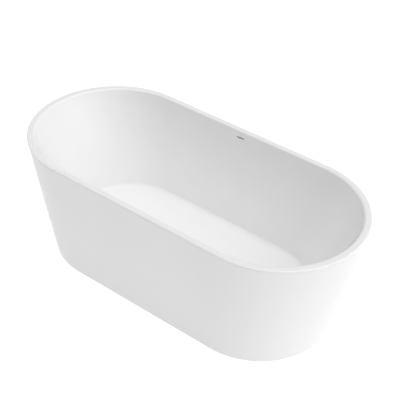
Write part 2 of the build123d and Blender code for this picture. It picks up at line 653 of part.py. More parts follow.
with BuildPart() as overflow_box:
    with BuildSketch(Plane.YZ.offset(-31.0)):
        with BuildLine():
            Polyline((front_y(BOX_Z0), BOX_Z0), (back_y(BOX_Z0), BOX_Z0), (back_y(BOX_Z1), BOX_Z1),
                     (front_y(BOX_Z1), BOX_Z1), close=True)
        make_face()
    extrude(amount=62.0)
    # spigot for the hose
    with BuildSketch(hose_plane(-4.0)):
        Circle(HOSE_BORE)
    extrude(amount=28.0)
    with BuildSketch(Plane.YZ.offset(-31.0 + BOX_T)):
        with BuildLine():
            Polyline((front_y(BOX_Z0 + BOX_T, BOX_T), BOX_Z0 + BOX_T), (back_y(BOX_Z0 + BOX_T, BOX_T), BOX_Z0 + BOX_T),
                     (back_y(BOX_Z1 - BOX_T, BOX_T), BOX_Z1 - BOX_T), (front_y(BOX_Z1 - BOX_T, BOX_T), BOX_Z1 - BOX_T),
                     close=True)
        make_face()
    extrude(amount=62.0 - 2 * BOX_T, mode=Mode.SUBTRACT)
    with BuildSketch(hose_plane(-9.0)):
        Circle(8.0)
    extrude(amount=40.0, mode=Mode.SUBTRACT)
    # window behind the slot
    with BuildSketch(wall_plane(SLOT_Z, BOX_STEP).offset(-1.0)):
        RectangleRounded(46.0, 10.0, 3.0)
    extrude(amount=1.0 + BOX_T + 0.6, mode=Mode.SUBTRACT)
save("overflow_box", overflow_box.part)

# hose: a straight run, one bend of radius HOSE_BEND, a level run
bend_t = (HOSE_TOP[1] - (HOSE_Z + HOSE_BEND - HOSE_NRM[1] * HOSE_BEND)) / -HOSE_DIR[1]
bend_0 = hose_point(bend_t)
bend_1 = (0.0, bend_0[1] + HOSE_NRM[0] * HOSE_BEND, HOSE_Z)
with BuildPart() as overflow_hose:
    with BuildLine() as hose_line:
        run = Line(hose_point(5.0), bend_0)
        bend = TangentArc(bend_0, bend_1, tangent=run % 1)
        Line(bend_1, (0, 40.0, HOSE_Z))
    with BuildSketch(Plane(origin=hose_point(5.0), x_dir=(1, 0, 0), z_dir=run % 0)):
        Circle(HOSE_R)
        Circle(HOSE_BORE, mode=Mode.SUBTRACT)
    sweep()
save("overflow_hose", overflow_hose.part)
print("hose length", round(sum(e.length for e in hose_line.edges()), 1))

# worm-drive clips on both hose ends
CLIP_W = 9.0
with BuildPart() as hose_clamps:
    with BuildSketch(hose_plane(10.0)):
        Circle(HOSE_R + 0.9)
        with Locations((HOSE_R + 3.2, 0)):
            Rectangle(6.4, 12.0)
        Circle(HOSE_R, mode=Mode.SUBTRACT)
    extrude(amount=CLIP_W)
    with BuildSketch(Plane.XZ.offset(-47.0)):
        with Locations((0, HOSE_Z)):
            Circle(HOSE_R + 0.9)
        with Locations((HOSE_R + 3.2, HOSE_Z)):
            Rectangle(6.4, 12.0)
        with Locations((0, HOSE_Z)):
            Circle(HOSE_R, mode=Mode.SUBTRACT)
    extrude(amount=-CLIP_W)
    # screw tunnels
    tunnel = hose_plane(10.0 + CLIP_W / 2)
    side_dir = tunnel.y_dir
    with BuildSketch(Plane(origin=tunnel.origin + Vector(HOSE_R + 3.6, 0, 0) - side_dir * 10.0, x_dir=(1, 0, 0), z_dir=side_dir)):
        Circle(2.0)
    extrude(amount=20.0, mode=Mode.SUBTRACT)
    with BuildSketch(Plane.XY.offset(HOSE_Z - 10.0)):
        with Locations((HOSE_R + 3.6, 47.0 + CLIP_W / 2)):
            Circle(2.0)
    extrude(amount=20.0, mode=Mode.SUBTRACT)
save("hose_clamps", hose_clamps.part)

with BuildPart() as clamp_screws:
    tunnel = hose_plane(10.0 + CLIP_W / 2)
    side_dir = tunnel.y_dir
    start = tunnel.origin + Vector(HOSE_R + 3.6, 0, 0) - side_dir * 7.0
    with BuildSketch(Plane(origin=start, x_dir=(1, 0, 0), z_dir=side_dir)):
        Circle(2.0)
    extrude(amount=13.0)
    with BuildSketch(Plane(origin=start + side_dir * 13.0, x_dir=(1, 0, 0), z_dir=side_dir)):
        RegularPolygon(3.0, 6, major_radius=False)
    extrude(amount=3.0)
    with BuildSketch(Plane.XY.offset(HOSE_Z - 7.0)):
        with Locations((HOSE_R + 3.6, 47.0 + CLIP_W / 2)):
            Circle(2.0)
    extrude(amount=13.0)
    with BuildSketch(Plane.XY.offset(HOSE_Z + 6.0)):
        with Locations((HOSE_R + 3.6, 47.0 + CLIP_W / 2)):
            RegularPolygon(3.0, 6, major_radius=False)
    extrude(amount=3.0)
save("clamp_screws", clamp_screws.part)

# a P-clip that holds the hose up to the far rail
with BuildPart() as hose_clip:
    with BuildSketch(Plane.XZ.offset(-(RAIL_Y - 6.0))):
        with Locations((0, HOSE_Z)):
            Circle(HOSE_R + 1.4)
        with Locations((HOSE_R + 0.7, HOSE_Z + 10.0)):
            Rectangle(1.4, 20.0)
        with Locations((HOSE_R + 9.0, FRAME_Z0 - 0.75)):
            Rectangle(18.0, 1.5)
        with Locations((0, HOSE_Z)):
            Circle(HOSE_R, mode=Mode.SUBTRACT)
    extrude(amount=-12.0)
    disc(22, RAIL_Y, FRAME_Z0 - 5, FRAME_Z0 + 1, 1.9, Mode.SUBTRACT)
save("hose_clip", hose_clip.part)

with BuildPart() as clip_screw:
    disc(22, RAIL_Y, FRAME_Z0 - 1.5 - 2.3, FRAME_Z0 - 1.5, 3.8)
    disc(22, RAIL_Y, FRAME_Z0 - 2.0, FRAME_Z0 + 6.0, 1.9)
save("clip_screw", clip_screw.part)
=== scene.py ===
import json
import math

import bmesh
import bpy
import numpy as np
from mathutils import Matrix, Vector


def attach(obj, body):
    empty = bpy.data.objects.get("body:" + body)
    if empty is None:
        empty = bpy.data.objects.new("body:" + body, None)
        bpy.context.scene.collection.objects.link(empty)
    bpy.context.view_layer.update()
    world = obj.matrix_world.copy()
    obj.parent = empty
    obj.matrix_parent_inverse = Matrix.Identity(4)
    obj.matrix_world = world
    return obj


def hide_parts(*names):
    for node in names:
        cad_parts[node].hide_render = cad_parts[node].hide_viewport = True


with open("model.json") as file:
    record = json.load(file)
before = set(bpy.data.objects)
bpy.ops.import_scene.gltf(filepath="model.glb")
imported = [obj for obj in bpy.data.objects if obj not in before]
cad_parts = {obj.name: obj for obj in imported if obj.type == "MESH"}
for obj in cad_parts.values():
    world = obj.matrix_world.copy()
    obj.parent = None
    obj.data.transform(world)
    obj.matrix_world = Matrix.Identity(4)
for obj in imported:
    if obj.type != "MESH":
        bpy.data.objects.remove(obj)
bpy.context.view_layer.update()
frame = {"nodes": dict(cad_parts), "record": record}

nodes = frame["nodes"]
MM = 0.001

# ---------------------------------------------------------------- camera
AZ, EL, ROLL = (math.radians(a) for a in (37.032, 37.355, 1.850))
FOCAL, DX, DY, DIST = 985.0, -46.18, -102.55, 4499.7
back = Vector((math.sin(AZ) * math.cos(EL), -math.cos(AZ) * math.cos(EL), math.sin(EL)))
flat_right = Vector((math.cos(AZ), math.sin(AZ), 0.0))
flat_up = back.cross(flat_right)
right = flat_right * math.cos(ROLL) + flat_up * math.sin(ROLL)
up = -flat_right * math.sin(ROLL) + flat_up * math.cos(ROLL)
eye = (Vector((0.0, 0.0, 290.0)) + back * DIST - right * DX - up * DY) * MM
cam_data = bpy.data.cameras.new("camera")
cam_data.sensor_width = 36.0
cam_data.lens = FOCAL / 400.0 * 36.0
cam_data.clip_start, cam_data.clip_end = 0.1, 100.0
cam = bpy.data.objects.new("camera", cam_data)
bpy.context.scene.collection.objects.link(cam)
cam.matrix_world = Matrix((
    (right.x, up.x, back.x, eye.x),
    (right.y, up.y, back.y, eye.y),
    (right.z, up.z, back.z, eye.z),
    (0.0, 0.0, 0.0, 1.0)))
bpy.context.scene.camera = cam
bpy.context.scene.view_settings.view_transform = "Standard"

# ------------------------------------------------------- sizes, millimetres
HEIGHT = 600.0
SKIRT_Z0 = 2.0
TOP_S, TOP_R = 450.44, 400.45
BOT_S, BOT_R = 390.0, 341.5
FLOOR_Z = 140.0
CAV_TOP_S, CAV_TOP_R = 444.0, 374.0
CAV_BOT_S, CAV_BOT_R = 349.5, 254.0
CREASE_Z, CREASE_EASE = 157.0, 8.0
COVE_FILLET, RIM_IN, RIM_OUT = 40.0, 11.0, 5.0
COVE_M = 1.0 / math.tan(math.radians(50.0))
COVE_ROOT = math.sqrt(1 + COVE_M ** 2)
ACRYLIC, WALL_STEP = 5.0, 5.3
LIP_Z, LIP_T, SEAM = 588.0, 5.0, 0.6
SKIRT_T = 4.0
SLOT_L, SLOT_H, SLOT_Z = 40.0, 6.5, 565.5
DISH_Z = 136.5

CAV_DR = (CAV_TOP_R - CAV_BOT_R) / (HEIGHT - FLOOR_Z)
CAV_DS = (CAV_TOP_S - CAV_BOT_S) / (HEIGHT - FLOOR_Z)
SK_DR = (TOP_R - BOT_R) / (HEIGHT - SKIRT_Z0)
SK_DS = (TOP_S - BOT_S) / (HEIGHT - SKIRT_Z0)


# ------------------------------------------------------------ mesh helpers
def make(name, verts, faces, normals=None, closed=True):
    """A mesh object from millimetres, smooth, with the given vertex normals."""
    me = bpy.data.meshes.new(name)
    me.from_pydata((np.asarray(verts, float) * MM).tolist(), [], faces)
    me.update()
    if closed:
        bm = bmesh.new()
        bm.from_mesh(me)
        bmesh.ops.recalc_face_normals(bm, faces=bm.faces)
        bm.to_mesh(me)
        bm.free()
    me.polygons.foreach_set("use_smooth", [True] * len(me.polygons))
    me.update()
    if normals is not None:
        n = np.asarray(normals, float)
        n = n / np.linalg.norm(n, axis=1)[:, None]
        me.normals_split_custom_set_from_vertices(n.tolist())
    ob = bpy.data.objects.new(name, me)
    bpy.context.scene.collection.objects.link(ob)
    return ob


class Outline:
    """One trip round a stadium, as samples that every level shares."""

    def __init__(self, arc, straight):
        sig, hx, hy = [], [], []
        for a in np.linspace(-90.0, 90.0, arc + 1):
            sig.append(1.0); hx.append(math.cos(math.radians(a))); hy.append(math.sin(math.radians(a)))
        for u in straight:
            sig.append(-u); hx.append(0.0); hy.append(1.0)
        for a in np.linspace(90.0, 270.0, arc + 1):
            sig.append(-1.0); hx.append(math.cos(math.radians(a))); hy.append(math.sin(math.radians(a)))
        for u in straight:
            sig.append(u); hx.append(0.0); hy.append(-1.0)
        self.sig, self.hx, self.hy = (np.array(v) for v in (sig, hx, hy))
        self.hx[np.abs(self.hx) < 1e-9] = 0.0
        self.n = len(sig)

    def at(self, s, r, z):
        """Points at half length s, radius r and height z, each a number or one per sample."""
        one = np.ones(self.n)
        return np.stack([self.sig * s + self.hx * r, self.hy * r, one * z], 1)

    def dirs(self, out, rise):
        one = np.ones(self.n)
        return np.stack([self.hx * out, self.hy * out, one * rise], 1)

    def slope(self, dr, ds):
        """Level growth of the wall per unit of height, along each sample's outward direction."""
        return dr + ds * self.sig * self.hx


def rings(stations, n, holes=()):
    """Quads between successive rings of a closed stack, leaving out holes = (k0, k1, j0, j1)."""
    faces = []
    count = len(stations)
    for k in range(count):
        k2 = (k + 1) % count
        for j in range(n):
            if any(a <= k < b and c <= j < d for a, b, c, d in holes):
                continue
            j2 = (j + 1) % n
            faces.append((k * n + j, k2 * n + j, k2 * n + j2, k * n + j2))
    return faces


# straight stretch: fractions of the half length, close together round the overflow slot
fine = np.linspace(-32.0, 32.0, 27) / 436.0
coarse = np.linspace(32.0 / 436.0, 1.0, 24)[1:-1]
ALONG = np.concatenate([-coarse[::-1], fine, coarse])
ARC = 96
line = Outline(ARC, ALONG)


def cav_r(z):
    return CAV_BOT_R + CAV_DR * (z - FLOOR_Z)


def cav_s(z):
    return CAV_BOT_S + CAV_DS * (z - FLOOR_Z)


def sk_r(z):
    return BOT_R + SK_DR * (z - SKIRT_Z0)


def sk_s(z):
    return BOT_S + SK_DS * (z - SKIRT_Z0)


# ------------------------------------------------------------ inner shell
def build_basin():
    P, N, tag = [], [], {}

    def add(p, n):
        P.append(p)
        N.append(n)
        return len(P) - 1

    one = np.ones(line.n)
    m = line.slope(CAV_DR, CAV_DS)
    root = np.sqrt(1 + m * m)
    s_c, r_c = cav_s(CREASE_Z), cav_r(CREASE_Z)
    # floor tangent line of the cove
    zf = FLOOR_Z + COVE_FILLET * (1 - COVE_M / COVE_ROOT)
    r_f = r_c + (zf - CREASE_Z) * COVE_M - COVE_FILLET / COVE_ROOT
    mid = line.at(s_c, r_f, FLOOR_Z)
    theta = np.arctan2(mid[:, 1], mid[:, 0])
    cx, cy = np.cos(theta), np.sin(theta)

    def circle(r, z, nr, nz):
        return add(np.stack([cx * r, cy * r, one * z], 1), np.stack([cx * nr, cy * nr, one * nz], 1))

    # drain hole, then the shallow dish, its edges eased
    circle(26.0, DISH_Z - ACRYLIC + 0.3, -1, 0)
    circle(26.0, DISH_Z - 0.6, -1, 0)
    for a in (30, 60):
        a = math.radians(a)
        circle(26.6 - 0.6 * math.cos(a), DISH_Z - 0.6 + 0.6 * math.sin(a), -math.cos(a), math.sin(a))
    circle(26.6, DISH_Z, 0, 1)
    lean = math.atan(0.25)
    ease = 18.0
    t = ease * math.tan(lean / 2)
    circle(40.0 - t, DISH_Z, 0, 1)
    for k in range(1, 7):
        a = lean * k / 6
        circle(40.0 - t + ease * math.sin(a), DISH_Z + ease * (1 - math.cos(a)), -math.sin(a), math.cos(a))
    for k in range(0, 7):
        a = lean * (1 - k / 6)
        circle(54.0 + t - ease * math.sin(a), FLOOR_Z - ease * (1 - math.cos(a)), -math.sin(a), math.cos(a))
    inner = P[-1]
    for w in (0.06, 0.14, 0.24, 0.36, 0.5, 0.64, 0.78, 0.9):
        add(inner * (1 - w) + mid * w, line.dirs(0, 1))
    # cove: a fillet out of the floor, then a short straight slope
    low = np.arctan(m)
    a_c = math.atan(COVE_M)
    for k in range(0, 25):
        a = math.pi / 2 + (a_c - math.pi / 2) * k / 24
        add(line.at(s_c, r_f + COVE_FILLET * math.cos(a), FLOOR_Z + COVE_FILLET * (1 - math.sin(a))),
            line.dirs(-math.cos(a), math.sin(a)))
    # the crease, its edge eased
    nw = np.stack([-1 / root, m / root])
    nc = np.array([-1.0, COVE_M])[:, None] / COVE_ROOT
    centre = CREASE_EASE * (nw + nc) / (1 + (nw * nc).sum(0))
    for k in range(0, 9):
        a = a_c + (low - a_c) * k / 8
        add(line.at(s_c, r_c + centre[0] + CREASE_EASE * np.cos(a), CREASE_Z + centre[1] - CREASE_EASE * np.sin(a)),
            line.dirs(-np.cos(a), np.sin(a)))
    zw = CREASE_Z + centre[1] - CREASE_EASE * np.sin(low)
    # wall
    zr = HEIGHT - RIM_IN + RIM_IN * m / root
    side = np.isclose(line.hx, 0.0)
    z_lo, z_hi = zw[side][0], zr[side][0]
    levels = list(np.linspace(z_lo, 553.0, 16)[1:-1]) + list(np.linspace(553.0, 578.0, 9)) + [585.0]
    for z in levels:
        v = (z - z_lo) / (z_hi - z_lo)
        zz = zw + v * (zr - zw)
        k = add(line.at(cav_s(zz), cav_r(zz), zz), line.dirs(-1 / root, m / root))
        if abs(z - 553.0) < 1e-6:
            tag["f0"] = k
        if abs(z - 578.0) < 1e-6:
            tag["f1"] = k
    # inner edge of the rim
    for k in range(0, 17):
        a = low + (math.pi / 2 - low) * k / 16
        p = line.at(cav_s(zr), cav_r(zr) + RIM_IN / root - RIM_IN * np.cos(a), HEIGHT - RIM_IN + RIM_IN * np.sin(a))
        add(p, line.dirs(-np.cos(a), np.sin(a)))
    flat_in = P[-1]
    # outer edge of the rim
    mo = line.slope(SK_DR, SK_DS)
    ro = np.sqrt(1 + mo * mo)
    zo = HEIGHT - RIM_OUT - RIM_OUT * mo / ro
    lean_o = np.arctan(mo)
    flat_out = line.at(sk_s(zo), sk_r(zo) - RIM_OUT / ro, HEIGHT)
    for w in (0.25, 0.5, 0.75):
        add(flat_in * (1 - w) + flat_out * w, line.dirs(0, 1))
    for k in range(0, 13):
        a = math.pi / 2 - (math.pi / 2 + lean_o) * k / 12
        p = line.at(sk_s(zo), sk_r(zo) - RIM_OUT / ro + RIM_OUT * np.cos(a), HEIGHT - RIM_OUT + RIM_OUT * np.sin(a))
        add(p, line.dirs(np.cos(a), np.sin(a)))
    # lip and its eased lower edge
    b = 0.8
    zb = LIP_Z + b - b * mo / ro
    for k in range(0, 6):
        a = lean_o + (math.pi / 2 - lean_o) * k / 5
        p = line.at(sk_s(zb), sk_r(zb) - b / ro + b * np.cos(a), LIP_Z + b - b * np.sin(a))
        add(p, line.dirs(np.cos(a), -np.sin(a)))

    def skirt_ring(off, z, no, nz):
        return add(line.at(sk_s(z), sk_r(z) + off, z), line.dirs(no, nz))

    skirt_ring(-LIP_T + 0.3, LIP_Z, 0, -1)
    skirt_ring(-LIP_T, LIP_Z + 0.3, -1, 0)
    skirt_ring(-LIP_T, HEIGHT - ACRYLIC - 0.3, -1, 0)
    skirt_ring(-LIP_T - 0.3, HEIGHT - ACRYLIC, 0, -1)
    # back of the basin
    z = HEIGHT - ACRYLIC
    add(line.at(cav_s(z), cav_r(z) + WALL_STEP + 0.4, z), line.dirs(0, -1))
    for z in [594.0] + [lv for lv in reversed(levels) if lv < 590]:
        k = add(line.at(cav_s(z), cav_r(z) + WALL_STEP, z), line.dirs(1 / root, -m / root))
        if abs(z - 578.0) < 1e-6:
            tag["b1"] = k
        if abs(z - 553.0) < 1e-6:
            tag["b0"] = k
    R = COVE_FILLET + ACRYLIC
    zb0 = FLOOR_Z - ACRYLIC
    zc = CREASE_Z + (WALL_STEP - ACRYLIC * COVE_ROOT) / (COVE_M - CAV_DR)
    add(line.at(s_c, cav_r(zc) + WALL_STEP, zc), line.dirs(math.cos(0.48), -math.sin(0.48)))
    zwb = zb0 + R * (1 - COVE_M / COVE_ROOT)
    r_b = cav_r(zc) + WALL_STEP + (zwb - zc) * COVE_M - R / COVE_ROOT
    for k in range(0, 15):
        a = a_c + (math.pi / 2 - a_c) * k / 14
        add(line.at(s_c, r_b + R * math.cos(a), zb0 + R - R * math.sin(a)), line.dirs(math.cos(a), -math.sin(a)))
    outer = P[-1]
    ring_in = np.stack([cx * 60.0, cy * 60.0, one * zb0], 1)
    for w in (0.3, 0.6, 0.85):
        add(outer * (1 - w) + ring_in * w, line.dirs(0, -1))
    circle(60.0, zb0, 0, -1)
    circle(45.0, zb0 - 3.5, 0, -1)
    circle(26.3, zb0 - 3.5, 0, -1)

    n = line.n
    V = np.concatenate(P)
    NN = np.concatenate(N)
    # columns of the slot's patch on the far wall
    far = np.where(np.isclose(line.hy, 1.0) & np.isclose(line.hx, 0.0) & (np.abs(line.sig) <= 32.5 / 436.0))[0]
    j0, j1 = int(far.min()), int(far.max())
    faces = rings(P, n, holes=((tag["f0"], tag["f1"], j0, j1), (tag["b1"], tag["b0"], j0, j1)))

    def loop(k0, k1):
        """Vertices round a patch's edge, in order."""
        ks = list(range(k0, k1 + 1))
        js = list(range(j0, j1 + 1))
        out = [(k0, j) for j in js[:-1]] + [(k, j1) for k in ks[:-1]]
        out += [(k1, j) for j in reversed(js[1:])] + [(k, j0) for k in reversed(ks[1:])]
        return [k * n + j for k, j in out]

    half = (SLOT_L - SLOT_H) / 2
    wall_n = np.array([0.0, -1.0, CAV_DR]) / math.sqrt(1 + CAV_DR ** 2)
    extra, extra_n = [], []
    start = len(V)

    def slot_ring(src, grow, depth, normal_out):
        """A ring round the slot, level cut: grow is how far outside the slot's outline, depth how far behind the face."""
        ids = []
        for i in src:
            x, z = V[i][0], V[i][2] - SLOT_Z
            qx = min(max(x, -half), half)
            d = np.array([x - qx, z])
            d = d / np.linalg.norm(d)
            px, pz = qx + d[0] * (SLOT_H / 2 + grow), SLOT_Z + d[1] * (SLOT_H / 2 + grow)
            py = cav_r(pz) + depth
            extra.append((px, py, pz))
            inward = np.array([-d[0], 0.0, -d[1]])
            extra_n.append(wall_n * (1 - normal_out) + inward * normal_out if normal_out < 1 else inward)
            ids.append(start + len(extra) - 1)
        return ids

    front = loop(tag["f0"], tag["f1"])
    behind = loop(tag["b1"], tag["b0"])
    ease_r = 1.3
    chain = [front]
    chain.append(slot_ring(front, 4.0, 0.0, 0.0))
    for k in range(0, 6):
        a = math.pi / 2 * k / 5
        chain.append(slot_ring(front, ease_r * (1 - math.sin(a)), ease_r * (1 - math.cos(a)), math.sin(a)))
    chain.append(slot_ring(front, 0.0, WALL_STEP - 0.15, 1.0))
    for a, c in zip(chain[:-1], chain[1:]):
        for i in range(len(a)):
            i2 = (i + 1) % len(a)
            faces.append((a[i], c[i], c[i2], a[i2]))
    # the back loop runs the other way round; match it to the tunnel by position
    tunnel = chain[-1]
    allv = np.concatenate([V, np.array(extra)])
    fx = np.array([[V[i][0] / cav_s(V[i][2]), V[i][2]] for i in front])
    order = []
    for p in fx:
        best = min(behind, key=lambda i: (V[i][0] / cav_s(V[i][2]) - p[0]) ** 2 * 1e5 + (V[i][2] - p[1]) ** 2)
        order.append(best)
    for i in range(len(tunnel)):
        i2 = (i + 1) % len(tunnel)
        faces.append((tunnel[i], order[i], order[i2], tunnel[i2]))
    return make("basin", allv, faces, np.concatenate([NN, np.array(extra_n)]))


def build_skirt():
    P, N = [], []
    mo = line.slope(SK_DR, SK_DS)
    ro = np.sqrt(1 + mo * mo)
    lean = np.arctan(mo)

    def add(p, n):
        P.append(p)
        N.append(n)

    def level(off, z, no, nz):
        add(line.at(sk_s(z), sk_r(z) + off, z), line.dirs(no, nz))

    # eased lower edge, outer face, eased upper edge
    b = 1.2
    for k in range(0, 7):
        a = math.pi / 2 * (1 - k / 6) + lean * (k / 6)
        zb = SKIRT_Z0 + b - b * mo / ro
        add(line.at(sk_s(zb), sk_r(zb) - b / ro + b * np.cos(a), SKIRT_Z0 + b - b * np.sin(a)), line.dirs(np.cos(a), -np.sin(a)))
    top = LIP_Z - SEAM
    for z in np.linspace(SKIRT_Z0, top, 26)[1:-1]:
        level(0.0, z, 1 / ro, -mo / ro)
    b = 0.8
    zt = top - b - b * mo / ro
    for k in range(0, 6):
        a = -lean + (math.pi / 2 + lean) * k / 5
        add(line.at(sk_s(zt), sk_r(zt) - b / ro + b * np.cos(a), top - b + b * np.sin(a)), line.dirs(np.cos(a), np.sin(a)))
    level(-5.0, top, 0, 1)
    level(-5.3, top + 0.3, 1, 0)
    level(-5.3, 593.5, 1, 0)
    level(-5.6, 593.8, 0, 1)
    level(-9.0, 593.8, 0, 1)
    level(-9.3, 593.5, -1, 0)
    level(-9.3, 579.3, -1, 0)
    level(-9.0, 579.0, 0, -1)
    level(-4.3, 579.0, 0, -1)
    level(-4.0, 578.7, -1, 0)
    for z in np.linspace(560.0, 20.0, 10):
        level(-4.0, z, -1, 0)
    level(-4.0, SKIRT_Z0 + 0.5, -1, 0)
    level(-3.5, SKIRT_Z0, 0, -1)
    return make("skirt", np.concatenate(P), rings(P, line.n), np.concatenate(N))


# --------------------------------------------------------- tubes and threads
def tube_mesh(name, path, radii, sides=32, bore=None):
    """A tube round a path (points in mm) with a radius at each point, capped or bored."""
    path = np.asarray(path, float)
    n = len(path)
    tan = np.gradient(path, axis=0)
    tan /= np.linalg.norm(tan, axis=1)[:, None]
    side = np.array([1.0, 0.0, 0.0])
    verts, faces = [], []
    ang = np.linspace(0, 2 * math.pi, sides, endpoint=False)
    rows = []

    def row(i, r):
        s = side - tan[i] * side.dot(tan[i])
        s /= np.linalg.norm(s)
        u = np.cross(tan[i], s)
        base = len(verts)
        for a in ang:
            verts.append(path[i] + (s * math.cos(a) + u * math.sin(a)) * r)
        return base

    for i in range(n):
        rows.append(row(i, radii[i]))
    if bore is not None:
        inside = list(range(0, n - 1, 6)) + [n - 1]
        for i in reversed(inside):
            rows.append(row(i, bore))
    count = len(rows)
    last = count if bore is not None else count - 1
    for k in range(last):
        a, b = rows[k], rows[(k + 1) % count]
        for j in range(sides):
            j2 = (j + 1) % sides
            faces.append((a + j, a + j2, b + j2, b + j))
    if bore is None:
        faces.append(tuple(rows[0] + j for j in range(sides)))
        faces.append(tuple(rows[-1] + j for j in range(sides)))
    return make(name, verts, faces)


def resample(points, step):
    points = np.asarray(points, float)
    d = np.concatenate([[0], np.cumsum(np.linalg.norm(np.diff(points, axis=0), axis=1))])
    count = max(2, int(round(d[-1] / step)) + 1)
    s = np.linspace(0, d[-1], count)
    return np.stack([np.interp(s, d, points[:, i]) for i in range(3)], 1), s


def build_hose():
    """The overflow hose: a ribbed bore with plain cuffs, on one smooth line between its two spigots."""
    route = [(0.0, 367.22, 485.10), (0.0, 309.96, 198.66), (0.0, 284.22, 70.0), (0.0, 150.0, 70.0), (0.0, 40.0, 70.0)]
    cu = bpy.data.curves.new("hose_line", "CURVE")
    cu.dimensions = "3D"
    sp = cu.splines.new("NURBS")
    sp.points.add(len(route) - 1)
    for p, q in zip(sp.points, route):
        p.co = (q[0], q[1], q[2], 1.0)
    sp.order_u = 3
    sp.use_endpoint_u = True
    sp.resolution_u = 64
    ob = bpy.data.objects.new("hose_line", cu)
    bpy.context.scene.collection.objects.link(ob)
    bpy.context.view_layer.update()
    me = bpy.data.meshes.new_from_object(ob)
    pts = np.array([v.co[:] for v in me.vertices])
    bpy.data.objects.remove(ob)
    bpy.data.curves.remove(cu)
    bpy.data.meshes.remove(me)
    path, s = resample(pts, 0.8)
    total = s[-1]
    pitch, crest, root = 4.8, 12.45, 10.9
    rad = []
    for d in s:
        edge = min(d, total - d)
        if edge < 24.0:
            r = crest
        else:
            w = 0.5 + 0.5 * math.cos(2 * math.pi * (edge - 24.0) / pitch)
            w = min(1.0, max(0.0, (w - 0.18) / 0.5))
            r = root + (crest - root) * w
        rad.append(r)
    rad = np.array(rad)
    return tube_mesh("ribbed_hose", path, rad, sides=40, bore=10.05)


def build_stem(index, x, y):
    """Levelling screw: rolled M12 thread above and below a pinched hexagon, domed ball end in the pad."""
    sides = 48
    pitch, crest, root = 1.75, 5.93, 4.95
    ang = np.linspace(0, 2 * math.pi, sides, endpoint=False)
    verts, faces, rows = [], [], []

    def ring(z, fn):
        base = len(verts)
        for a in ang:
            r = fn(a)
            verts.append((x + r * math.cos(a), y + r * math.sin(a), z))
        rows.append(base)

    def thread(z, keep=1.0):
        def fn(a):
            ph = (z / pitch - a / (2 * math.pi)) % 1.0
            w = 1 - abs(2 * ph - 1)
            w = min(1.0, max(0.0, (w - 0.12) / 0.7))
            return root + (crest - root) * w * keep
        return fn

    def hexagon(a):
        k = a % (math.pi / 3) - math.pi / 6
        return 8.45 / math.cos(k)

    # foot of the stem, seated in the pad
    for z, r in ((8.15, 5.5), (8.6, 7.4), (9.6, 7.95), (13.9, 7.95), (14.7, 7.2), (14.95, 6.2)):
        ring(z, lambda a, r=r: r)
    for z in np.arange(15.2, 21.6, pitch / 6):
        ring(z, thread(z, 0.96))
    ring(21.9, lambda a: 7.2)
    ring(22.1, lambda a: min(hexagon(a), 9.0))
    for z in (22.9, 25.0, 27.0, 29.1):
        ring(z, hexagon)
    ring(29.9, lambda a: min(hexagon(a), 9.0))
    ring(30.0, lambda a: 7.0)
    for z in np.arange(30.3, 100.6, pitch / 6):
        ring(z, thread(z))
    ring(101.2, lambda a: 5.2)
    ring(101.95, lambda a: 4.5)
    for a, b in zip(rows[:-1], rows[1:]):
        for j in range(sides):
            j2 = (j + 1) % sides
            faces.append((a + j, a + j2, b + j2, b + j))
    faces.append(tuple(rows[0] + j for j in range(sides)))
    faces.append(tuple(rows[-1] + j for j in range(sides)))
    return make(f"levelling_screw_{index}", verts, faces)


